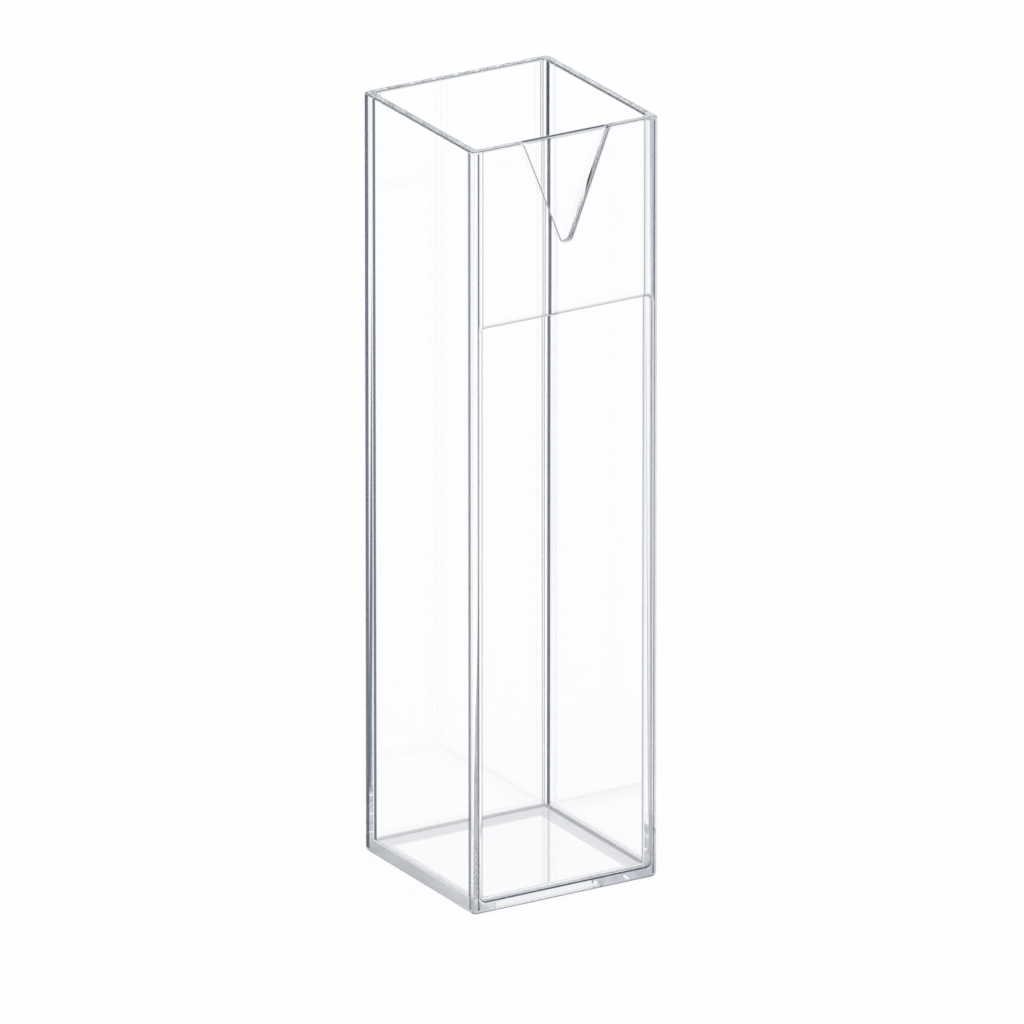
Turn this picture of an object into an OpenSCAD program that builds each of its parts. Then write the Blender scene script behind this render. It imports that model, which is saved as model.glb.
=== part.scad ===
// Standard square cuvette, moulded in one piece from clear polystyrene.
// The cavity has a slight draft for its long core, so the thin walls thicken a little from the rim
// to the floor. The inside width at the height of the light beam is the optical path.
// The front face (-Y) carries the sunk optical window and the V mark at the rim.

/* [Body] */
// Height from the base to the rim
body_h = 45; // [36:0.5:52]
// Radius of the upright outside edges
edge_r = 0.35; // [0.3:0.05:0.4]
// Radius round the underside
foot_r = 0.3; // [0.1:0.05:0.35]
// Radius on the outer and inner edge of the rim
rim_r = 0.12; // [0.05:0.01:0.2]

/* [Cavity] */
// Inside width at the beam height, which is the optical path
path_w = 10.8; // [8:0.1:20]
// Height of the light beam above the base
beam_h = 8.5; // [5:0.5:20]
// Wall thickness at the beam height
beam_wall = 0.6; // [0.55:0.05:1.5]
// Wall thickness at the rim
rim_wall = 0.55; // [0.45:0.05:0.6]
// Thickness of the floor
floor_t = 0.7; // [0.5:0.05:1.2]
// Radius of the cavity's corners at the floor and of its edge round the floor
cavity_r = 0.2; // [0.1:0.05:0.5]

/* [Optical window] */
// Depth of the window below the face
window_depth = 0.2; // [0.1:0.05:0.3]
// Width of the rail left at each side of the window
window_rail = 0.45; // [0.45:0.05:1]
// Height of the plain collar between the window and the rim
collar_h = 10.4; // [8:0.2:14]
// Height of the plain band under the window
window_foot = 0.75; // [0.5:0.05:2]
// Corner radius of the window
window_r = 0.4; // [0.2:0.05:1]

/* [V mark] */
// Width of the V at the rim
vee_w = 5.4; // [4:0.1:7]
// Height of the V from the rim to its tip
vee_h = 6.2; // [5:0.1:7.5]
// Depth of the V below the face
vee_depth = 0.3; // [0.15:0.05:0.35]
// Radius of the tip of the V
vee_tip_r = 0.35; // [0.2:0.05:0.6]
// Radius of the lips where the V opens into the rim
vee_lip_r = 0.35; // [0.2:0.05:0.6]

/* [Hidden] */
$fn = 64;
clear_cut = 1; // how far a cutting tool runs past the surface that it cuts

// Outside width of the square body
outer_w = path_w + 2 * beam_wall;
// Draft: how much each wall of the cavity leans out for each millimetre of height
draft = (beam_wall - rim_wall) / (body_h - beam_h);
// Height where the round edge of the floor ends and the drafted wall starts
wall_z = floor_t + cavity_r;
// Places of the upright axes at the corners of the body and of the cavity
body_axis = outer_w / 2 - edge_r;
cavity_axis = path_w / 2 - draft * (beam_h - wall_z) - cavity_r;
// Corner radius of the cavity at the rim, where its cones are widest
cavity_rim_r = cavity_r + draft * (body_h - wall_z);

// The V's sides run from the rim, tangent to the circle at its tip
vee_half = vee_w / 2;
vee_tip_drop = vee_h - vee_tip_r;
vee_slope = atan2(vee_half, vee_tip_drop) - asin(vee_tip_r / norm([vee_half, vee_tip_drop]));
// Offset from the V's rim corner to the lip circle, which touches the rim and the V's side
vee_lip_run = vee_lip_r * (1 - sin(vee_slope)) / cos(vee_slope);
vee_lip_x = vee_half + vee_lip_run;

// Solid with a square plan and rounded corners, swept from the profile in children().
// The profile is drawn outwards from a corner axis and stands from z_low to z_high on it.
module square_sweep(axis, z_low, z_high) {
    for (quarter = [0:3])
        rotate([0, 0, 90 * quarter])
            translate([axis, axis, 0])
                rotate_extrude(angle = 90)
                    children();
    for (turn = [0, 90])
        rotate([90, 0, turn])
            linear_extrude(2 * axis, center = true) {
                translate([-axis, z_low])
                    square([2 * axis, z_high - z_low]);
                for (side = [0, 1])
                    mirror([side, 0])
                        translate([axis, 0])
                            children();
            }
}

// Outside profile: straight wall, rounded into the base and the rim
module body_profile() {
    intersection() {
        square([edge_r, body_h]);
        union() {
            translate([0, foot_r])
                square([edge_r, body_h - foot_r - rim_r]);
            square([edge_r - foot_r, body_h]);
            translate([0, body_h - 2 * rim_r])
                square([edge_r - rim_r, 2 * rim_r]);
            translate([edge_r - foot_r, foot_r])
                circle(foot_r);
            translate([edge_r - rim_r, body_h - rim_r])
                circle(rim_r);
        }
    }
}

// Cavity profile: drafted wall, rounded into the floor and flared into the rim
module cavity_profile() {
    intersection() {
        translate([0, floor_t])
            square(cavity_r);
        translate([0, wall_z])
            circle(cavity_r);
    }
    polygon([
        [0, wall_z],
        [cavity_r, wall_z],
        [cavity_rim_r + draft * clear_cut, body_h + clear_cut],
        [0, body_h + clear_cut]
    ]);
    difference() {
        translate([cavity_rim_r - rim_r, body_h - rim_r])
            square([2 * rim_r, rim_r + clear_cut]);
        translate([cavity_rim_r + rim_r, body_h - rim_r])
            circle(rim_r);
    }
}

// Cuts its outline, drawn in X and Z, into the front face to a depth
module sink_front(depth) {
    translate([0, depth - outer_w / 2, 0])
        rotate([90, 0, 0])
            linear_extrude(depth + clear_cut)
                children();
}

module window_outline() {
    w = outer_w - 2 * window_rail;
    h = body_h - collar_h - window_foot;
    translate([0, window_foot + h / 2]) {
        square([w - 2 * window_r, h], center = true);
        square([w, h - 2 * window_r], center = true);
        for (x = [-1, 1], z = [-1, 1])
            translate([x * (w / 2 - window_r), z * (h / 2 - window_r)])
                circle(window_r);
    }
}

// V with a round tip and rounded lips, measured from the rim
module vee_outline() {
    tip_side = [vee_tip_r * cos(vee_slope), -vee_tip_drop - vee_tip_r * sin(vee_slope)];
    lip_side = [vee_lip_x - vee_lip_r * cos(vee_slope), vee_lip_r * (sin(vee_slope) - 1)];
    right = [tip_side, lip_side, [vee_lip_x, 0], [vee_lip_x, clear_cut]];
    left = [for (i = [len(right) - 1:-1:0]) [-right[i].x, right[i].y]];
    translate([0, body_h]) {
        difference() {
            polygon(concat(right, left));
            for (side = [-1, 1])
                translate([side * vee_lip_x, -vee_lip_r])
                    circle(vee_lip_r);
        }
        translate([0, -vee_tip_drop])
            circle(vee_tip_r);
    }
}

module cuvette() {
    color([0.9, 0.94, 0.97, 0.35])
        difference() {
            square_sweep(body_axis, 0, body_h)
                body_profile();
            square_sweep(cavity_axis, floor_t, body_h + clear_cut)
                cavity_profile();
            sink_front(window_depth)
                window_outline();
            sink_front(vee_depth)
                vee_outline();
        }
}

cuvette();
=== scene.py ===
"""Clear moulded cuvette on a white table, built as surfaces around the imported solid.

The body is a set of patches: profiles carried round a rounded square, and grids that follow the
outlines of the V mark and of the optical window. They are welded into one closed mesh whose
normals come from the same formulas, so that the flats stay flat and every edge is round.
"""

from __future__ import annotations

import logging
import math
from dataclasses import dataclass, field
from enum import Enum
from typing import Any, Union

import bpy
import numpy as np
import numpy.typing as npt
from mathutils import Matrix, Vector

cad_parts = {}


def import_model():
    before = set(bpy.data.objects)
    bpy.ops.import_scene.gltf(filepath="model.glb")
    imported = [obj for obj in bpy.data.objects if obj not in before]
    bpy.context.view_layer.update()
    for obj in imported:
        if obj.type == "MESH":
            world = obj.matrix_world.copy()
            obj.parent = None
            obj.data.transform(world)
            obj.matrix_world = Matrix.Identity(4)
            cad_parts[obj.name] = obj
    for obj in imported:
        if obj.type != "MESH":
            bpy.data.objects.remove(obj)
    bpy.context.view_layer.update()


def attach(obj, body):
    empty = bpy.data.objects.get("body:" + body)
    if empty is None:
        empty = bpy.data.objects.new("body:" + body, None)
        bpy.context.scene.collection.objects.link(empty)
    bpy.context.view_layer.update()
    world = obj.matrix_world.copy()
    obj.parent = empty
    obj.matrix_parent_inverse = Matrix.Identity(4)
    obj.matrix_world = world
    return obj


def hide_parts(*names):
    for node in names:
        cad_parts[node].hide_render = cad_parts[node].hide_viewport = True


log = logging.getLogger("cuvette")

Array = npt.NDArray[np.float64]
Indices = npt.NDArray[np.int64]
Colour = tuple[float, float, float]
Value = Union["Expr", float, int]

MM = 0.001
PHOTO_PIXELS = 1024
WHITE: Colour = (1.0, 1.0, 1.0)
LIGHT_BOUNCES = 64
NEARLY = 1e-9


class Ray(Enum):
    """Kinds of ray that a stage material can tell apart."""

    CAMERA = "Is Camera Ray"
    GLOSSY = "Is Glossy Ray"
    TRANSMISSION = "Is Transmission Ray"


class Attribute(Enum):
    """Values that the body's mesh carries for its material: the strength of the painted shade along its
    edges.
    """

    PAINTED_SHADE = "edge_round"


# Shader graphs


class Expr:
    """A value socket that builds Math nodes when it is used in an expression."""

    def __init__(self, graph: "Graph", socket: bpy.types.NodeSocket) -> None:
        """Keeps the socket and the graph that it belongs to."""
        self.graph = graph
        self.socket = socket

    def math(self, operation: str, *others: Value) -> "Expr":
        """Adds a Math node that starts from this value.

        Args:
            operation: Blender's name of the operation.
            others: Further operands, as values or numbers.

        Returns:
            The node's result.
        """
        return self.graph.math(operation, self, *others)

    def __add__(self, other: Value) -> "Expr":
        """Sum."""
        return self.math("ADD", other)

    def __radd__(self, other: Value) -> "Expr":
        """Sum with a number on the left."""
        return self.graph.math("ADD", other, self)

    def __sub__(self, other: Value) -> "Expr":
        """Difference."""
        return self.math("SUBTRACT", other)

    def __rsub__(self, other: Value) -> "Expr":
        """Difference from a number on the left."""
        return self.graph.math("SUBTRACT", other, self)

    def __mul__(self, other: Value) -> "Expr":
        """Product."""
        return self.math("MULTIPLY", other)

    def __rmul__(self, other: Value) -> "Expr":
        """Product with a number on the left."""
        return self.graph.math("MULTIPLY", other, self)

    def __or__(self, other: Value) -> "Expr":
        """The larger of two values, which joins masks."""
        return self.math("MAXIMUM", other)


class Graph:
    """Adds nodes to a node tree and links them."""

    def __init__(self, tree: bpy.types.NodeTree) -> None:
        """Takes over a tree and empties it."""
        self.tree = tree
        self.tree.nodes.clear()

    def node(self, kind: str, settings: dict[str, Any] | None = None, **sockets: Any) -> bpy.types.Node:
        """Adds a node, sets its options, then fills its sockets.

        Args:
            kind: Type name of the node.
            settings: Attributes of the node, which are set first.
            sockets: Values or links by input name, with _ for a space, or in0, in1 by place.

        Returns:
            The new node.
        """
        made = self.tree.nodes.new(kind)
        for name, value in (settings or {}).items():
            setattr(made, name, value)
        for name, value in sockets.items():
            by_place = name[2:].isdigit() and name.startswith("in")
            socket = made.inputs[int(name[2:])] if by_place else made.inputs[name.replace("_", " ")]
            self.feed(socket, value)
        return made

    def feed(self, socket: bpy.types.NodeSocket, value: Any) -> None:
        """Links a socket to a value, node or output, or sets its plain value."""
        if isinstance(value, Expr):
            self.tree.links.new(value.socket, socket)
        elif isinstance(value, bpy.types.Node):
            self.tree.links.new(value.outputs[0], socket)
        elif isinstance(value, bpy.types.NodeSocket):
            self.tree.links.new(value, socket)
        elif isinstance(value, tuple) and socket.type == "RGBA":
            socket.default_value = (*value, 1.0)
        else:
            socket.default_value = value

    def value(self, made: bpy.types.Node, output: str | int = 0) -> Expr:
        """Wraps one output of a node for use in an expression."""
        return Expr(self, made.outputs[output])

    def math(self, operation: str, *operands: Value) -> Expr:
        """Adds a Math node for values and numbers in any order."""
        places = {f"in{place}": operand for place, operand in enumerate(operands)}
        return self.value(self.node("ShaderNodeMath", {"operation": operation}, **places))

    def ramp(self, value: Expr, start: float, width: float) -> Expr:
        """Rises from 0 to 1 while a value goes from start to start + width."""
        made = self.node("ShaderNodeMapRange", Value=value, From_Min=start, From_Max=start + width)
        return self.value(made)

    def seen_by(self, *rays: Ray) -> Expr:
        """Gives 1 for rays of any of these kinds and 0 for the others."""
        path = self.node("ShaderNodeLightPath")
        mask = self.value(path, rays[0].value)
        for ray in rays[1:]:
            mask = mask | self.value(path, ray.value)
        return mask


# Meshes


@dataclass
class Patch:
    """A grid of points with the surface's own normals.

    Attributes:
        points: Rows by columns by three, in millimetres.
        normals: The same shape, outwards.
        edge: Rows by columns, how strongly a painted dark line of shade shows there, 0 where there is
            none.
        closed: True if the last column joins the first.
    """

    points: Array
    normals: Array
    edge: Array
    closed: bool = False

    def quads(self) -> Indices:
        """Numbers the corners of every cell of the grid, row by row."""
        rows, columns = self.edge.shape
        place = np.arange(rows * columns).reshape(rows, columns)
        if self.closed:
            place = np.concatenate([place, place[:, :1]], axis=1)
        cells = (place[:-1, :-1], place[:-1, 1:], place[1:, 1:], place[1:, :-1])
        return np.stack(cells, axis=-1).reshape(-1, 4)


@dataclass
class Weld:
    """Joins patches into one mesh along the points that they share."""

    patches: list[Patch] = field(default_factory=list)
    places_per_mm: float = 2.0e4

    def add(self, *patches: Patch) -> None:
        """Takes more patches."""
        self.patches.extend(patches)

    def corners(self) -> tuple[Array, Array, Array, Indices]:
        """Lays all the patches end to end.

        Returns:
            Points, normals and edge values of all the corners, and the quads between them.
        """
        points = np.concatenate([p.points.reshape(-1, 3) for p in self.patches])
        normals = np.concatenate([p.normals.reshape(-1, 3) for p in self.patches])
        edge = np.concatenate([p.edge.reshape(-1) for p in self.patches])
        sizes = np.array([p.edge.size for p in self.patches])
        starts = np.cumsum(sizes) - sizes
        quads = np.concatenate([p.quads() + s for p, s in zip(self.patches, starts)])
        return points, normals / np.linalg.norm(normals, axis=1, keepdims=True), edge, quads

    def mesh(self, name: str) -> bpy.types.Mesh:
        """Builds the closed mesh in metres.

        Points that fall on one place become one vertex. A cell whose corners meet becomes a
        triangle or goes, and a cell that faces against its normals is turned round.

        Args:
            name: Name of the mesh.

        Returns:
            The mesh, smooth, with the patches' normals on its face corners.
        """
        points, normals, edge, quads = self.corners()
        keys = np.round(points * self.places_per_mm).astype(np.int64)
        _, first, vertex = np.unique(keys, axis=0, return_index=True, return_inverse=True)
        vertex = vertex.reshape(-1)

        a, b, c, d = (points[quads[:, k]] for k in range(4))
        facing = (np.cross(c - a, d - b) * normals[quads].sum(axis=1)).sum(axis=1)
        quads = np.where((facing < 0)[:, None], quads[:, ::-1], quads)
        kept = vertex[quads] != vertex[np.roll(quads, 1, axis=1)]
        opposite = vertex[np.roll(quads, 2, axis=1)]
        crossed = (vertex[quads] == opposite).any(axis=1)
        kept[crossed | (kept.sum(axis=1) < 3)] = False
        sides = kept.sum(axis=1)
        corner = quads[kept]
        sides = sides[sides > 0]

        mesh = bpy.data.meshes.new(name)
        mesh.vertices.add(len(first))
        mesh.vertices.foreach_set("co", (points[first] * MM).astype(np.float32).ravel())
        mesh.loops.add(len(corner))
        mesh.loops.foreach_set("vertex_index", vertex[corner].astype(np.int32))
        mesh.polygons.add(len(sides))
        mesh.polygons.foreach_set("loop_start", (np.cumsum(sides) - sides).astype(np.int32))
        mesh.update(calc_edges=True)
        mesh.polygons.foreach_set("use_smooth", np.ones(len(sides), dtype=bool))
        # Painted shade: each vertex keeps the strongest dark edge line that its patches give it
        strongest = np.zeros(len(first))
        np.maximum.at(strongest, vertex, edge)
        layer = mesh.attributes.new(Attribute.PAINTED_SHADE.value, "FLOAT", "POINT")
        layer.data.foreach_set("value", strongest.astype(np.float32))
        mesh.normals_split_custom_set(normals[corner].tolist())
        mesh.validate()
        return mesh


# The cuvette


@dataclass(frozen=True)
class CuvetteSizes:
    """Sizes of the moulded body in millimetres, the same as the solid's.

    window_edge_r, the rounding of the window's stepped edge, is too fine for the solid.
    """

    body_h: float = 45.0
    edge_r: float = 0.35
    foot_r: float = 0.3
    rim_r: float = 0.12
    path_w: float = 10.8
    beam_h: float = 8.5
    beam_wall: float = 0.6
    rim_wall: float = 0.55
    floor_t: float = 0.7
    cavity_r: float = 0.2
    window_depth: float = 0.2
    window_rail: float = 0.45
    collar_h: float = 10.4
    window_foot: float = 0.75
    window_r: float = 0.4
    window_edge_r: float = 0.09
    vee_w: float = 5.4
    vee_h: float = 6.2
    vee_depth: float = 0.3
    vee_tip_r: float = 0.35
    vee_lip_r: float = 0.35

    @property
    def half_w(self) -> float:
        """Half the outside width."""
        return self.path_w / 2 + self.beam_wall

    @property
    def body_axis(self) -> float:
        """Distance of the outside corners' upright axes from the middle planes."""
        return self.half_w - self.edge_r

    @property
    def draft(self) -> float:
        """How far a cavity wall leans out for each millimetre of height."""
        return (self.beam_wall - self.rim_wall) / (self.body_h - self.beam_h)

    @property
    def wall_z(self) -> float:
        """Height where the floor's round edge ends and the drafted wall starts."""
        return self.floor_t + self.cavity_r

    @property
    def cavity_axis(self) -> float:
        """Distance of the cavity corners' upright axes from the middle planes."""
        return self.path_w / 2 - self.draft * (self.beam_h - self.wall_z) - self.cavity_r

    @property
    def cavity_rim_r(self) -> float:
        """Corner radius of the cavity at the rim."""
        return self.cavity_r + self.draft * (self.body_h - self.wall_z)

    @property
    def vee_slope(self) -> float:
        """Angle of the V's sides from the upright, tangent to the circle at its tip."""
        half, drop = self.vee_w / 2, self.vee_h - self.vee_tip_r
        return math.atan2(half, drop) - math.asin(self.vee_tip_r / math.hypot(half, drop))

    @property
    def vee_lip_x(self) -> float:
        """Where the V's lip leaves the rim."""
        slope = self.vee_slope
        return self.vee_w / 2 + self.vee_lip_r * (1 - math.sin(slope)) / math.cos(slope)


@dataclass(frozen=True)
class LineWeights:
    """How strongly the edges of the moulding show as painted dark lines of shade, where 0 is no line.
    They stand in for the dark that refraction and inner reflection show along the edges of the clear
    plastic, and so do the grey bands beside the V and along the floor's round edge.

    Past the point where a line is as dark as it gets, a larger value makes it wider.
    """

    front_corners: float = 0.8
    back_corners: float = 1.8
    cavity_front: float = 0.8
    cavity_back: float = 1.8
    cavity_face: float = 0.5
    foot: float = 0.95
    rim: float = 0.25
    rim_inside: float = 0.4
    vee: float = 0.9
    vee_side: float = 0.03
    vee_shoulder: float = 0.35
    vee_top: float = 0.7
    vee_strip: float = 0.45
    window_top: float = 0.6
    window_side: float = 0.1
    window_bottom: float = 1.2
    window_shoulder: float = 0.45
    floor: float = 0.45


@dataclass(frozen=True)
class LineWidths:
    """How wide the painted dark lines of shade along the edges are, and where they lie on the rounds.

    Attributes:
        beside_face: Width on the front and the back face, as a share of half the path's square.
        front: Width on the side faces at the front corners, as a share like that.
        back: Width on the side faces at the back corners, as a share like that.
        back_core: Width of the part of those lines that has their full strength.
        corner_spread: Half-width in the corners, in degrees.
        shoulder: Width on the face beside the V, in millimetres.
        frame_share: Width on the face above the window, as a share of its frame.
        top_strip: Width under the open top of the V, in millimetres.
        foot_turn: Place on the foot's round, in degrees below the level.
        foot_spread: Half-width there, in degrees.
        vee_turn: Place on the V's round, in degrees from the face.
        vee_spread: Half-width there, in degrees.
    """

    beside_face: float = 0.016
    front: float = 0.03
    back: float = 0.055
    back_core: float = 0.036
    corner_spread: float = 10.0
    shoulder: float = 0.06
    frame_share: float = 0.2
    top_strip: float = 0.15
    foot_turn: float = 40.0
    foot_spread: float = 10.0
    vee_turn: float = 25.0
    vee_spread: float = 16.0

    def beside(self, quarter: int) -> tuple[tuple[float, ...], tuple[float, ...]]:
        """Widths at the start and the end of the flat after a corner, wide ones first.

        Args:
            quarter: Number of the corner, from the front right one round the back.

        Returns:
            The widths at the flat's start and at its end.
        """
        if quarter == 0:
            return (self.front,), (self.back, self.back_core)
        if quarter == 2:
            return (self.back, self.back_core), (self.front,)
        return (self.beside_face,), (self.beside_face,)


@dataclass(frozen=True)
class Steps:
    """Into how many steps the curves and flats are cut."""

    corner: int = 20
    round: int = 12
    side: int = 6
    lip: int = 12
    vee_side: int = 8
    tip: int = 20
    plain: int = 4
    floor: int = 3
    window_corner: int = 6


@dataclass
class Outline:
    """A curve in the front face, as places and normals in X and Z."""

    x: Array
    z: Array
    nx: Array
    nz: Array

    def moved(self, distance: float | Array) -> tuple[Array, Array]:
        """Gives the curve that lies a distance away along the normals."""
        return self.x + distance * self.nx, self.z + distance * self.nz


def arc(start: float, end: float, steps: int) -> Array:
    """Angles from start to end, given in degrees, as radians."""
    return np.radians(np.linspace(start, end, steps + 1))


def eased_arc(steps: int) -> Array:
    """Angles of a quarter turn in radians, closer together towards both ends by a cosine."""
    return (1 - np.cos(np.linspace(0, math.pi, steps + 1))) * math.pi / 4


def bell(angle: Array, centre: float, spread: float) -> Array:
    """Bell curve over angles in radians, with its centre and half-width in degrees."""
    return np.exp(-(((np.degrees(angle) - centre) / spread) ** 2))


def border_lines(turn: Array, spread: float) -> Array:
    """Strength of the two lines where a round edge leaves its flats: bell curves at both ends.

    Args:
        turn: Angles from 0 to a quarter turn, in radians.
        spread: Half-width of the lines, in degrees.

    Returns:
        Values from 0 to 1.
    """
    return bell(np.minimum(turn, math.pi / 2 - turn), 0.0, spread)


@dataclass
class SquarePath:
    """Path round a square with rounded corners, which starts along the front from the left.

    A place on it is axis * centre + radius * out: centre runs round a square of half-width 1,
    stands still while a corner turns, and out is the level normal.
    """

    front: Array
    steps: Steps
    widths: LineWidths

    def __post_init__(self) -> None:
        """Works out the centres and normals of all the columns."""
        turn = eased_arc(self.steps.corner)[1:]
        middle = np.linspace(-1, 1, self.steps.side + 1)[1:-1]
        centres = [np.stack([self.front, -np.ones_like(self.front)], 1)]
        outs = [np.tile([0.0, -1.0], (len(self.front), 1))]
        for quarter, (cos, sin) in enumerate([(1, 0), (0, 1), (-1, 0), (0, -1)]):
            spin = np.array([[cos, sin], [-sin, cos]], dtype=float)
            start, end = self.widths.beside(quarter)
            run = np.concatenate([np.sort(start) - 1, middle, 1 - np.array(end), [1.0]])
            corner_out = np.stack([np.sin(turn), -np.cos(turn)], 1)
            centres.append(np.tile([1.0, -1.0], (len(turn), 1)) @ spin)
            outs.append(corner_out @ spin)
            centres.append(np.stack([np.ones_like(run), run], 1) @ spin)
            outs.append(np.tile([1.0, 0.0], (len(run), 1)) @ spin)
        # The last side is the front again, and the last corner ends where the front begins
        extra = len(run) + 1
        self.centre = np.concatenate(centres)[:-extra]
        self.out = np.concatenate(outs)[:-extra]

    @property
    def all(self) -> Indices:
        """Every column."""
        return np.arange(len(self.centre))

    def corner_lines(self, front: float, back: float, beside_face: float) -> Array:
        """Strength of the lines along the borders of the corners, for every column.

        Args:
            front: Strength beside the side faces at the front corners.
            back: Strength beside the side faces at the back corners.
            beside_face: Strength beside the front and the back face.

        Returns:
            The lines' bell curves in the corners and the back lines' cores, and 0 on the flats.
        """
        turn = np.arctan2(np.abs(self.out[:, 1]), np.abs(self.out[:, 0]))
        in_corner = np.abs(self.centre).min(axis=1) > 1 - NEARLY
        at_back = (self.centre[:, 1] > 0) & (turn < math.pi / 4)
        strength = np.where(at_back, back, np.where(turn < math.pi / 4, front, beside_face))
        core = at_back & (self.centre[:, 1] > 1 - self.widths.back_core - NEARLY)
        lines = strength * border_lines(turn, self.widths.corner_spread)
        return np.where(in_corner | core, lines, 0.0)

    def after(self, first: int, last: int) -> Indices:
        """Columns from one on the front's right, round the back, to one on its left."""
        return np.concatenate([np.arange(first, len(self.centre)), np.arange(last + 1)])

    def carry(self, axis: Any, radius: Any, height: Any, normal: tuple[Any, Any], edge: Any = 0.0,
              columns: Indices | None = None) -> Patch:
        """Carries a profile round the path.

        Args:
            axis: Half-width of the square of centres for each row of the profile.
            radius: Distance from the centres for each row.
            height: Z for each row.
            normal: Outward and upward parts of the normal for each row.
            edge: Edge value for each row.
            columns: Columns to use, or all of them for a closed ring.

        Returns:
            The swept patch.
        """
        given = (np.asarray(value, dtype=float) for value in (axis, radius, height, *normal, edge))
        a, r, z, out_n, up_n, e = (row[:, None] for row in np.broadcast_arrays(*given))
        use = self.all if columns is None else columns
        plan = a[..., None] * self.centre[use] + r[..., None] * self.out[use]
        level = np.broadcast_to(z, plan.shape[:2])
        points = np.concatenate([plan, level[..., None]], axis=2)
        across = out_n[..., None] * self.out[use]
        up = np.broadcast_to(up_n, plan.shape[:2])
        normals = np.concatenate([across, up[..., None]], axis=2)
        return Patch(points, normals, np.broadcast_to(e, plan.shape[:2]).copy(), columns is None)


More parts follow.
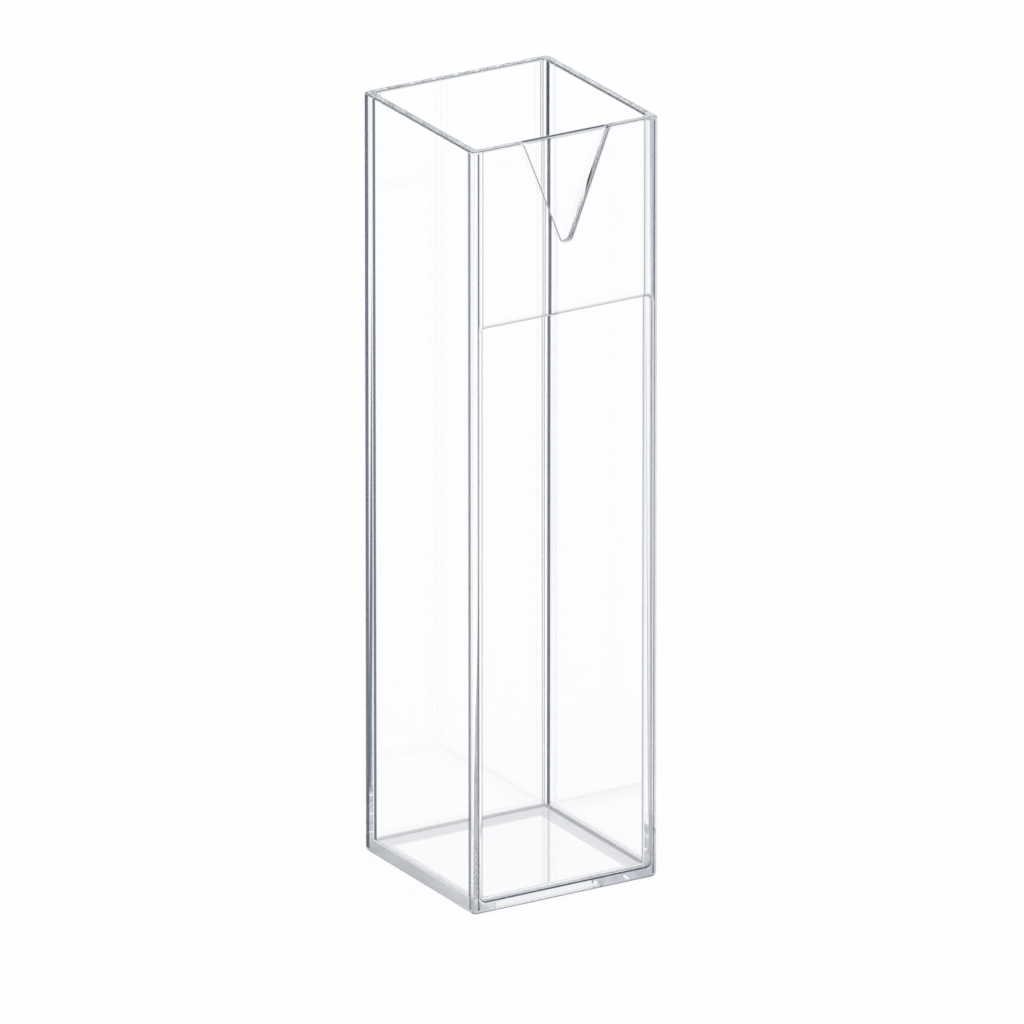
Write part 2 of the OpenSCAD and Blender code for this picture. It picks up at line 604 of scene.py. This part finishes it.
@dataclass
class ClearBody:
    """The one moulded piece: body, cavity, rim, V mark and optical window.

    Attributes:
        sizes: Sizes of the moulding.
        steps: How finely its curves are cut.
        lines: Strengths of the painted dark lines of shade along its edges.
        widths: Widths of those lines.
        name: Name of the piece.
        collar_gap: How far above the window its frame starts, in millimetres.
    """

    sizes: CuvetteSizes = field(default_factory=CuvetteSizes)
    steps: Steps = field(default_factory=Steps)
    lines: LineWeights = field(default_factory=LineWeights)
    widths: LineWidths = field(default_factory=LineWidths)
    name: str = "clear_cuvette_body"
    collar_gap: float = 0.6

    def __post_init__(self) -> None:
        """Lays out the rim's front outline and the path round the body."""
        size = self.sizes
        self.rim = self.rim_outline()
        self.path = SquarePath(self.rim.x / size.body_axis, self.steps, self.widths)
        keep = size.vee_lip_x
        squeeze = (size.cavity_axis - keep) / (size.body_axis - keep)
        past = np.clip(np.abs(self.rim.x) - keep, 0, None)
        inside_x = self.rim.x - np.sign(self.rim.x) * past * (1 - squeeze)
        self.inside = SquarePath(inside_x / size.cavity_axis, self.steps, self.widths)
        self.left_lip = self.steps.window_corner + self.steps.plain
        self.right_lip = len(self.rim.x) - 1 - self.left_lip
        self.behind = self.path.after(len(self.rim.x) - 1, 0)
        self.levels = self.wall_levels()

    def rim_outline(self) -> Outline:
        """Outline of the face's upper edge: the rim, dipping round the V.

        It runs along the rim, turns down a lip circle, follows the V's straight side, goes round
        the tip circle and comes back as its mirror image. Normals point out of the material.

        Returns:
            The outline from the left corner to the right.
        """
        size, steps = self.sizes, self.steps
        slope = math.degrees(size.vee_slope)
        window_corner_x = size.half_w - size.window_rail - size.window_r
        corner = np.linspace(-size.body_axis, -window_corner_x, steps.window_corner + 1)[:-1]
        plain = np.linspace(-window_corner_x, -size.vee_lip_x, steps.plain + 1)[:-1]
        flat = np.concatenate([corner, plain])
        lip = arc(90, slope, steps.lip)
        lip_x = -size.vee_lip_x + size.vee_lip_r * np.cos(lip)
        lip_z = -size.vee_lip_r + size.vee_lip_r * np.sin(lip)
        tip = arc(slope, 180 - slope, steps.tip)
        tip_x = -size.vee_tip_r * np.cos(tip)
        tip_z = -(size.vee_h - size.vee_tip_r) - size.vee_tip_r * np.sin(tip)
        share = np.linspace(0, 1, steps.vee_side + 1)[1:-1]
        side_x = lip_x[-1] + share * (tip_x[0] - lip_x[-1])
        side_z = lip_z[-1] + share * (tip_z[0] - lip_z[-1])
        side = np.full_like(share, math.radians(slope))
        left_x = np.concatenate([flat, lip_x, side_x])
        left_z = np.concatenate([np.zeros_like(flat), lip_z, side_z])
        left_turn = np.concatenate([np.full_like(flat, math.pi / 2), lip, side])
        x = np.concatenate([left_x, tip_x, -left_x[::-1]])
        z = np.concatenate([left_z, tip_z, left_z[::-1]])
        turn = np.concatenate([left_turn, tip, math.pi - left_turn[::-1]])
        return Outline(x, size.body_h + z, np.cos(turn), np.sin(turn))

    def wall_levels(self) -> Array:
        """Heights of the rows of the face from above the window down to the foot."""
        size, steps = self.sizes, self.steps
        top = size.body_h - size.collar_h
        upper, lower = top - size.window_r, size.window_foot + size.window_r
        return np.concatenate([
            np.linspace(top + self.collar_gap, upper, steps.window_corner + 1)[:-1],
            np.linspace(upper, lower, steps.plain + 1)[:-1],
            np.linspace(lower, size.foot_r, steps.window_corner + 1),
        ])

    def face(self, x: Array, z: Array, depth: Any, normal: tuple[Any, Any, Any], edge: Any = 0.0,
             closed: bool = False) -> Patch:
        """Makes a patch from places in the front face and depths behind it.

        Args:
            x: Rows by columns of X.
            z: Rows by columns of Z.
            depth: Distance behind the face, for each place or for all.
            normal: X, Y and Z of the normals, for each place or for all.
            edge: Edge values, for each place or for all.
            closed: True if the columns run round a loop.

        Returns:
            The patch.
        """
        given = (x, np.asarray(depth, dtype=float) - self.sizes.half_w, z, *normal, edge)
        parts = np.broadcast_arrays(*(np.asarray(value, dtype=float) for value in given))
        return Patch(np.stack(parts[:3], -1), np.stack(parts[3:6], -1), parts[6].copy(), closed)

    def underside(self) -> list[Patch]:
        """Base and the round edge up to the outside walls."""
        size, widths = self.sizes, self.widths
        inner = size.edge_r - size.foot_r
        shrink = np.array([0.0, 0.5, 1 - widths.beside_face, 1.0])
        base = self.path.carry(size.body_axis * shrink, inner * shrink, 0 * shrink, (0.0, -1.0))
        turn = eased_arc(self.steps.round) - math.pi / 2
        foot = self.path.carry(
            size.body_axis,
            inner + size.foot_r * np.cos(turn),
            size.foot_r + size.foot_r * np.sin(turn),
            (np.cos(turn), np.sin(turn)),
            self.lines.foot * bell(-turn, widths.foot_turn, widths.foot_spread),
        )
        return [base, foot]

    def walls(self) -> list[Patch]:
        """The three plain outside walls with their corners, and the rim's round edge above them."""
        size, lines, behind = self.sizes, self.lines, self.behind
        wall_top = size.body_h - size.rim_r
        heights = np.append(self.levels[::-1], [wall_top - self.widths.shoulder, wall_top])
        radii = np.full_like(heights, size.edge_r)
        wall = self.path.carry(size.body_axis, radii, heights, (1.0, 0.0), 0.0, behind)
        corners = self.path.corner_lines(lines.front_corners, lines.back_corners, lines.front_corners)
        wall.edge += corners[behind]
        turn = arc(0, 90, self.steps.round)
        inner = size.edge_r - size.rim_r
        rim = self.path.carry(
            size.body_axis,
            inner + size.rim_r * np.cos(turn),
            wall_top + size.rim_r * np.sin(turn),
            (np.cos(turn), np.sin(turn)),
            lines.rim * np.sin(2 * turn),
            behind,
        )
        radii = np.array([inner, size.edge_r - size.vee_depth])
        land = self.path.carry(size.body_axis, radii, size.body_h, (0.0, 1.0), 0.0, behind)
        return [wall, rim, land]

    def rim_land(self) -> Patch:
        """Flat top of the rim outside the V, from the depth of the V to the cavity's edge."""
        size, up = self.sizes, (0.0, 1.0)
        around = self.path.after(self.right_lip, self.left_lip)
        outer_r, inner_r = size.edge_r - size.vee_depth, size.cavity_rim_r + size.rim_r
        outer = self.path.carry(size.body_axis, [outer_r], size.body_h, up, 0.0, around)
        inner = self.inside.carry(size.cavity_axis, [inner_r], size.body_h, up, 0.0, around)
        return Patch(
            np.concatenate([outer.points, inner.points]),
            np.concatenate([outer.normals, inner.normals]),
            np.concatenate([outer.edge, inner.edge]),
        )

    def cavity(self) -> list[Patch]:
        """Inside of the rim, the drafted walls, the floor's round edge and the floor."""
        size, steps, lines = self.sizes, self.steps, self.lines
        turn = arc(90, 180, steps.round)
        edge = self.inside.carry(
            size.cavity_axis,
            size.cavity_rim_r + size.rim_r + size.rim_r * np.cos(turn),
            size.body_h - size.rim_r + size.rim_r * np.sin(turn),
            (np.cos(turn), np.sin(turn)),
            -lines.rim_inside * np.sin(2 * turn),
        )
        lean = math.atan(size.draft)
        heights = np.linspace(size.body_h - size.rim_r, size.wall_z, steps.plain + 1)
        radii = np.linspace(size.cavity_rim_r, size.cavity_r, steps.plain + 1)
        wall = self.inside.carry(size.cavity_axis, radii, heights, (-math.cos(lean), math.sin(lean)))
        wall.edge += self.inside.corner_lines(lines.cavity_front, lines.cavity_back, lines.cavity_face)
        turn = arc(0, -90, steps.round)
        tilt = np.minimum(turn, -lean)
        fillet = self.inside.carry(
            size.cavity_axis,
            size.cavity_r * np.cos(turn),
            size.wall_z + size.cavity_r * np.sin(turn),
            (-np.cos(tilt), -np.sin(tilt)),
            lines.floor * np.sin(2 * np.abs(turn)),
        )
        shrink = np.linspace(1, 0, steps.floor + 1)
        floor = self.inside.carry(size.cavity_axis * shrink, 0 * shrink, size.floor_t, (0.0, 1.0))
        return [edge, wall, fillet, floor]

    def front_edge(self) -> Patch:
        """Round edge along the rim's front outline, then square into the wall to the V's depth."""
        size, widths, lines = self.sizes, self.widths, self.lines
        turn = arc(0, 90, self.steps.round)
        move = np.append(size.rim_r * (np.sin(turn) - 1), 0.0)[:, None]
        depth = np.append(size.rim_r * (1 - np.cos(turn)), size.vee_depth)[:, None]
        across = np.append(np.sin(turn), 1.0)[:, None]
        facing = np.append(np.cos(turn), 0.0)[:, None]
        steep = np.abs(self.rim.nx)
        crest = np.append(np.sin(2 * turn), 0.0)[:, None]
        lip = np.append(bell(turn, widths.vee_turn, widths.vee_spread), 0.0)[:, None]
        edge = lines.rim * crest * (1 - steep) + lines.vee * lip * steep
        edge = np.maximum(edge, lines.vee_side * across * steep)
        x, z = self.rim.moved(move)
        return self.face(x, z, depth, (across * self.rim.nx, -facing, across * self.rim.nz), edge)

    def vee_recess(self) -> list[Patch]:
        """Floor of the V, the round edge along its open top and the rim behind it.

        The top edge's radius shrinks to nothing where the lips meet the rim.
        """
        size, steps, lines = self.sizes, self.steps, self.lines
        use = np.arange(self.left_lip, self.right_lip + 1)
        x, low = self.rim.x[use], self.rim.z[use]
        radius = np.minimum(size.rim_r, (size.body_h - low) / 2)
        high = size.body_h - radius
        strip = np.minimum(self.widths.top_strip, (high - low) / steps.plain)
        rows = np.stack([low, (low + high) / 2, high - strip, high])
        fade = np.array([0.0, 0.0, 0.0, lines.vee_strip])[:, None]
        sunk = self.face(x, rows, size.vee_depth, (0.0, -1.0, 0.0), fade)
        turn = arc(0, 90, steps.round)[:, None]
        top = self.face(
            x,
            size.body_h - radius + radius * np.sin(turn),
            size.vee_depth + radius - radius * np.cos(turn),
            (0.0, -np.cos(turn), np.sin(turn)),
            lines.vee_top * np.sin(2 * turn),
        )
        inner_r = size.cavity_rim_r + size.rim_r
        ring = self.inside.carry(size.cavity_axis, [inner_r], size.body_h, (0.0, 1.0), 0.0, use)
        land = Patch(
            np.stack([top.points[-1], ring.points[0]]),
            np.tile([0.0, 0.0, 1.0], (2, len(use), 1)),
            np.zeros((2, len(use))),
        )
        return [sunk, top, land]

    def collar(self) -> Patch:
        """Plain face between the rim's outline and the top of the window's frame."""
        inset = -self.sizes.rim_r
        x, z = self.rim.moved(inset)
        beside_x, beside_z = self.rim.moved(inset - self.widths.shoulder)
        rows_x = np.stack([x, beside_x, self.rim.x])
        rows_z = np.stack([z, beside_z, np.full_like(z, self.levels[0])])
        edge = np.stack([self.lines.vee_shoulder * np.abs(self.rim.nx), 0 * x, 0 * x])
        return self.face(rows_x, rows_z, 0.0, (0.0, -1.0, 0.0), edge)

    def window_outline(self) -> Outline:
        """Outline of the window, a loop that keeps step with the frame round it.

        It goes along the top, down the right, back along the bottom and up the left. Columns past
        a corner's centre turn half of the corner, and rows past it turn the other half.

        Returns:
            The closed outline, with normals away from the window.
        """
        size = self.sizes
        centre_x = size.half_w - size.window_rail - size.window_r
        upper, lower = size.body_h - size.collar_h - size.window_r, size.window_foot + size.window_r
        x, z = self.rim.x, self.levels[1:-1]
        turn = np.clip(np.abs(x) - centre_x, 0, None) / (size.body_axis - centre_x) * math.pi / 4
        across = np.sign(x) * np.sin(turn)
        rise = np.clip(z - upper, 0, None) / (self.levels[0] - upper)
        fall = np.clip(lower - z, 0, None) / (lower - self.levels[-1])
        tilt = (rise - fall) * math.pi / 4
        nx = np.concatenate([across, np.cos(tilt), across[::-1], -np.cos(tilt[::-1])])
        nz = np.concatenate([np.cos(turn), np.sin(tilt), -np.cos(turn[::-1]), np.sin(tilt[::-1])])
        cx = np.clip(x, -centre_x, centre_x)
        cz = np.clip(z, lower, upper)
        mid_x = np.concatenate([cx, np.full_like(z, centre_x), cx[::-1], np.full_like(z, -centre_x)])
        mid_z = np.concatenate([np.full_like(x, upper), cz, np.full_like(x, lower), cz[::-1]])
        return Outline(mid_x + size.window_r * nx, mid_z + size.window_r * nz, nx, nz)

    def window(self) -> list[Patch]:
        """Frame round the window, its stepped edge and its sunk face."""
        size, lines = self.sizes, self.lines
        loop = self.window_outline()
        x, z = self.rim.x, self.levels[1:-1]
        side = np.full_like(z, size.body_axis)
        above, below = np.full_like(x, self.levels[0]), np.full_like(x, self.levels[-1])
        frame_x = np.concatenate([x, side, x[::-1], -side])
        frame_z = np.concatenate([above, z, below, z[::-1]])
        near_x, near_z = loop.moved(size.window_edge_r)
        share = np.array([0.0, 1 - self.widths.frame_share, 1.0])[:, None]
        upper, lower = np.clip(loop.nz, 0, None) ** 2, np.clip(-loop.nz, 0, None) ** 2
        frame = self.face(
            frame_x + share * (near_x - frame_x),
            frame_z + share * (near_z - frame_z),
            0.0,
            (0.0, -1.0, 0.0),
            np.array([0.0, 0.0, 1.0])[:, None] * lines.window_shoulder * upper,
            closed=True,
        )

        # Profile of the step: a convex quarter circle, then a hollow one
        turn = arc(0, 90, self.steps.round)
        none = np.zeros_like(turn)
        radius = size.window_edge_r
        away = np.concatenate([1 - np.sin(turn), np.cos(turn) - 1])[:, None] * radius
        upper_depth = radius * (1 - np.cos(turn))
        lower_depth = size.window_depth - radius * (1 - np.sin(turn))
        depth = np.concatenate([upper_depth, lower_depth])[:, None]
        inward = np.concatenate([np.sin(turn), np.cos(turn)])[:, None]
        facing = np.concatenate([np.cos(turn), np.sin(turn)])[:, None]
        crest = np.concatenate([np.sin(2 * turn), none])[:, None]
        hollow = np.concatenate([none, np.sin(2 * turn)])[:, None]
        weight = lines.window_side * (1 - upper - lower) + lines.window_top * upper
        edge = (crest + hollow) * weight + crest * lines.window_bottom * lower
        step_x, step_z = loop.moved(away)
        normal = (-inward * loop.nx, -facing, -inward * loop.nz)
        step = self.face(step_x, step_z, depth, normal, edge, closed=True)

        wide, tall = len(x), len(z)
        sides = np.stack([step_x[-1], step_z[-1]], -1)
        top, bottom = sides[:wide], sides[wide + tall:2 * wide + tall][::-1]
        right = np.concatenate([top[-1:], sides[wide:wide + tall], bottom[-1:]])
        left = np.concatenate([top[:1], sides[2 * wide + tall:][::-1], bottom[:1]])
        sunk = self.coons(top, bottom, left, right)
        pane = self.face(sunk[..., 0], sunk[..., 1], size.window_depth, (0.0, -1.0, 0.0))
        return [frame, step, pane]

    def coons(self, top: Array, bottom: Array, left: Array, right: Array) -> Array:
        """Fills four curves: the two ruled surfaces between opposite curves, less the corners' own.

        Args:
            top: Upper curve, from left to right.
            bottom: Lower curve, from left to right.
            left: Left curve, downwards.
            right: Right curve, downwards.

        Returns:
            Rows by columns of X and Z.
        """
        size = self.sizes
        u = ((self.rim.x + size.body_axis) / (2 * size.body_axis))[None, :, None]
        span = self.levels[0] - self.levels[-1]
        v = ((self.levels[0] - self.levels) / span)[:, None, None]
        across = (1 - u) * left[:, None] + u * right[:, None]
        down = (1 - v) * top[None] + v * bottom[None]
        corners = (1 - v) * ((1 - u) * top[0] + u * top[-1]) + v * ((1 - u) * bottom[0] + u * bottom[-1])
        return across + down - corners

    def build(self, finish: "ClearPlastic") -> bpy.types.Object:
        """Welds the patches, dresses the piece and puts it in the solid's place.

        Args:
            finish: The plastic that it is moulded from.

        Returns:
            The finished piece.
        """
        weld = Weld()
        weld.add(*self.underside(), *self.walls(), self.rim_land(), *self.cavity())
        weld.add(self.front_edge(), *self.vee_recess(), self.collar(), *self.window())
        mesh = weld.mesh(self.name)
        mesh.materials.append(finish.material())
        piece = bpy.data.objects.new(self.name, mesh)
        bpy.context.scene.collection.objects.link(piece)
        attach(piece, "root")
        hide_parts("cuvette")
        return piece


# Finishes


@dataclass(frozen=True)
class ClearPlastic:
    """Clear polystyrene, polished by the mould, with painted shade along its edges: dark lines in its
    colour that stand in for the dark that refraction and inner reflection show there.

    Faint waves show where it flowed into the mould. At the foot of the three plain sides it is
    satin matt, where it rubs on a bench: on a border under the base and on a band outside. The
    side with the window stays polished.

    Attributes:
        slot: The record's slot that the piece takes its finish from.
        tint: Colour of the clear surface.
        edge_tint: Colour of the painted dark lines of shade along the edges.
        depth_tint: Colour that light takes on inside.
        depth_density: How much of it a metre of plastic gives.
        line_gain: How fast a painted shade line gets as dark as it can.
        ior: Refractive index.
        matt: Roughness where it is satin matt.
        matt_change: How much the grain adds to that.
        ring_from: Distance from the middle where the matt border starts, in metres.
        ring_top: Height that it reaches round the foot.
        band_from: Distance from the middle past which the band lies on the outside.
        band_top: Height of the band.
        fade: Width over which the matt fades out.
        grain_scale: Grains of the matt in a metre.
        flow_scale: Waves in a metre.
        flow_depth: Height of the waves, in metres.
    """

    slot: str = "clear_polystyrene"
    tint: Colour = (0.995, 0.996, 1.0)
    edge_tint: Colour = (0.006, 0.011, 0.028)
    depth_tint: Colour = (0.42, 0.5, 0.62)
    depth_density: float = 6.0
    line_gain: float = 1.5
    ior: float = 1.59
    matt: float = 0.32
    matt_change: float = 0.08
    ring_from: float = 0.0045
    ring_top: float = 0.0006
    band_from: float = 0.0056
    band_top: float = 0.0009
    fade: float = 0.00006
    grain_scale: float = 6000.0
    flow_scale: float = 220.0
    flow_depth: float = 4.0e-7

    def material(self) -> bpy.types.Material:
        """Builds the plastic's nodes.

        Returns:
            The material.
        """
        made = bpy.data.materials.new(self.slot)
        made.use_nodes = True
        graph = Graph(made.node_tree)
        place = graph.node("ShaderNodeTexCoord").outputs["Object"]
        carried = graph.node("ShaderNodeAttribute", {"attribute_name": Attribute.PAINTED_SHADE.value})
        # Painted shade: the carried edge value mixes a dark colour into the base colour along the edges
        line = (graph.value(carried, "Fac") * self.line_gain).math("MINIMUM", 1.0)
        colours = {"in6": self.tint, "in7": self.edge_tint}
        colour = graph.node("ShaderNodeMix", {"data_type": "RGBA"}, in0=line, **colours)
        flow = graph.node("ShaderNodeTexNoise", Vector=place, Scale=self.flow_scale, Detail=2.0)
        height = graph.value(flow, "Fac")
        waves = graph.node("ShaderNodeBump", Height=height, Distance=self.flow_depth, Strength=1.0)
        grain = graph.node("ShaderNodeTexNoise", Vector=place, Scale=self.grain_scale, Detail=1.0)
        satin = graph.value(grain, "Fac") * self.matt_change + self.matt
        plastic = graph.node(
            "ShaderNodeBsdfPrincipled",
            Base_Color=colour.outputs[2],
            Roughness=self.matt_mask(graph, place) * satin,
            IOR=self.ior,
            Transmission_Weight=1.0,
            Normal=waves,
        )
        inside = {"Color": self.depth_tint, "Density": self.depth_density}
        depth = graph.node("ShaderNodeVolumeAbsorption", **inside)
        graph.node("ShaderNodeOutputMaterial", Surface=plastic, Volume=depth)
        return made

    def matt_mask(self, graph: Graph, place: bpy.types.NodeSocket) -> Expr:
        """Gives 1 on the matt border and band at the foot of the plain sides, and 0 elsewhere.

        Args:
            graph: The material's nodes.
            place: Object coordinates.

        Returns:
            The mask.
        """
        parts = graph.node("ShaderNodeSeparateXYZ", in0=place)
        across, along, height = (graph.value(parts, axis) for axis in "XYZ")
        outward = across.math("ABSOLUTE") | along
        border = graph.ramp(outward, self.ring_from, self.fade)
        border = border * (1.0 - graph.ramp(height, self.ring_top, self.fade))
        band = graph.ramp(outward, self.band_from, self.fade)
        band = band * (1.0 - graph.ramp(height, self.band_top, self.fade))
        return border | band


@dataclass(frozen=True)
class WhiteTable:
    """Matt white table top that looks white and keeps a soft shadow."""

    colour: Colour = (0.9, 0.9, 0.9)
    roughness: float = 0.9
    shadow_share: float = 0.05

    def material(self) -> bpy.types.Material:
        """Builds the table's nodes: even white for rays that look at it, matt for light."""
        made = bpy.data.materials.new("white_table")
        made.use_nodes = True
        graph = Graph(made.node_tree)
        seen = graph.seen_by(Ray.CAMERA, Ray.GLOSSY, Ray.TRANSMISSION)
        matt = graph.node("ShaderNodeBsdfPrincipled", Base_Color=self.colour, Roughness=self.roughness)
        white = graph.node("ShaderNodeEmission", Color=WHITE, Strength=1.0)
        share = seen * (1.0 - self.shadow_share)
        shown = graph.node("ShaderNodeMixShader", in0=share, in1=matt, in2=white)
        graph.node("ShaderNodeOutputMaterial", Surface=shown)
        return made


# Stage and camera


@dataclass(frozen=True)
class SoftLamp:
    """Square soft box that points at the cuvette, with its sizes in metres and watts."""

    name: str
    place: tuple[float, float, float]
    width: float
    power: float

    def build(self, aim: Vector) -> None:
        """Makes the lamp, turned to the aim point."""
        data = bpy.data.lights.new(self.name, "AREA")
        data.shape = "SQUARE"
        data.size = self.width
        data.energy = self.power
        lamp = bpy.data.objects.new(self.name, data)
        lamp.location = self.place
        lamp.rotation_euler = (aim - Vector(self.place)).to_track_quat("-Z", "Y").to_euler()
        bpy.context.scene.collection.objects.link(lamp)


@dataclass
class Studio:
    """White table, pale room and soft lamps.

    Attributes:
        table: Finish of the table.
        table_size: Width of the table, in metres.
        table_gap: How far it lies under the cuvette, in metres.
        room: Colour of the room overhead.
        horizon: Colour of the room near the horizon.
        horizon_up_to: Sine of the height where the horizon's colour ends.
        room_from: Sine of the height where the room's own colour starts.
        lamps: The soft boxes.
        aim: Where they point, in metres.
    """

    table: WhiteTable = field(default_factory=WhiteTable)
    table_size: float = 8.0
    table_gap: float = 0.00002
    room: Colour = (0.7, 0.75, 0.86)
    horizon: Colour = (0.97, 0.98, 1.0)
    horizon_up_to: float = 0.4
    room_from: float = 0.75
    lamps: tuple[SoftLamp, ...] = (
        SoftLamp("key_softbox", (-1.1, -0.9, 1.8), 1.6, 10.0),
        SoftLamp("fill_softbox", (1.4, -0.6, 1.6), 1.6, 6.0),
    )
    aim: tuple[float, float, float] = (0.0, 0.0, 0.022)

    def build(self) -> None:
        """Makes the lamps, the table and the room."""
        for lamp in self.lamps:
            lamp.build(Vector(self.aim))
        self.build_table()
        self.build_room()

    def build_table(self) -> None:
        """Makes the table top, one square of the table's size."""
        half = self.table_size / 2
        grid = np.array([[-half, -half], [half, -half], [half, half], [-half, half]])
        corners = np.concatenate([grid, np.full((4, 1), -self.table_gap)], axis=1)
        mesh = bpy.data.meshes.new("white_table")
        mesh.from_pydata(corners.tolist(), [], [(0, 1, 2, 3)])
        mesh.materials.append(self.table.material())
        table = bpy.data.objects.new("white_table", mesh)
        bpy.context.scene.collection.objects.link(table)

    def build_room(self) -> None:
        """Makes the world: white to the camera, and graded from the horizon upwards to the rest."""
        world = bpy.data.worlds.new("room")
        world.use_nodes = True
        bpy.context.scene.world = world
        graph = Graph(world.node_tree)
        way = graph.node("ShaderNodeTexCoord")
        parts = graph.node("ShaderNodeSeparateXYZ", in0=way.outputs["Generated"])
        height = graph.node(
            "ShaderNodeMapRange",
            {"interpolation_type": "SMOOTHSTEP"},
            Value=parts.outputs["Z"],
            From_Min=self.horizon_up_to,
            From_Max=self.room_from,
        )
        colours = {"in6": self.horizon, "in7": self.room}
        wash = graph.node("ShaderNodeMix", {"data_type": "RGBA"}, in0=height, **colours)
        walls = graph.node("ShaderNodeBackground", Color=wash.outputs[2], Strength=1.0)
        white = graph.node("ShaderNodeBackground", Color=WHITE, Strength=1.0)
        seen = graph.seen_by(Ray.CAMERA)
        shown = graph.node("ShaderNodeMixShader", in0=seen, in1=walls, in2=white)
        graph.node("ShaderNodeOutputWorld", Surface=shown)


@dataclass(frozen=True)
class PictureCamera:
    """Camera at the picture's angle, framed by the picture's scale at its aim point.

    Attributes:
        azimuth: Angle round the cuvette from its front, in degrees.
        elevation: Angle above the table, in degrees.
        distance: Distance from the aim point in metres, far off because the picture's uprights
            are parallel.
        pixels_per_mm: Scale of the picture at the aim point.
        aim_right: Aim point's place to the right of the middle, in millimetres.
        aim_height: Aim point's height, in millimetres.
        sensor: Width of the sensor, in millimetres.
        near: Start of the clipping range, in metres.
        far: End of the clipping range, in metres.
    """

    azimuth: float = -30.85
    elevation: float = 20.4
    distance: float = 1.5
    pixels_per_mm: float = 18.0
    aim_right: float = 0.065
    aim_height: float = 20.93
    sensor: float = 36.0
    near: float = 0.01
    far: float = 50.0

    def build(self) -> bpy.types.Object:
        """Makes the scene's camera.

        Returns:
            The camera object.
        """
        turn, tilt = math.radians(self.azimuth), math.radians(self.elevation)
        level = math.cos(tilt)
        back = Vector((math.sin(turn) * level, -math.cos(turn) * level, math.sin(tilt)))
        right = Vector((math.cos(turn), math.sin(turn), 0.0))
        aim = (right * self.aim_right + Vector((0.0, 0.0, self.aim_height))) * MM
        data = bpy.data.cameras.new("picture_camera")
        data.sensor_width = self.sensor
        frame_width = PHOTO_PIXELS / self.pixels_per_mm * MM
        data.lens = self.sensor * self.distance / frame_width
        data.clip_start = self.near
        data.clip_end = self.far
        camera = bpy.data.objects.new("picture_camera", data)
        camera.location = aim + back * self.distance
        camera.rotation_euler = (-back).to_track_quat("-Z", "Y").to_euler()
        bpy.context.scene.collection.objects.link(camera)
        bpy.context.scene.camera = camera
        return camera


def main() -> None:
    """Loads the frame, builds the camera, the stage and the cuvette, and notes the sizes."""
    logging.basicConfig(level=logging.INFO, format="%(name)s: %(message)s")
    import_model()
    scene = bpy.context.scene
    scene.view_settings.view_transform = "Standard"
    scene.cycles.max_bounces = LIGHT_BOUNCES
    scene.cycles.glossy_bounces = LIGHT_BOUNCES
    scene.cycles.transmission_bounces = LIGHT_BOUNCES
    PictureCamera().build()
    Studio().build()
    piece = ClearBody().build(ClearPlastic())
    mesh = piece.data
    log.info("%s: %d vertices, %d faces", piece.name, len(mesh.vertices), len(mesh.polygons))


if __name__ == "__main__":
    main()
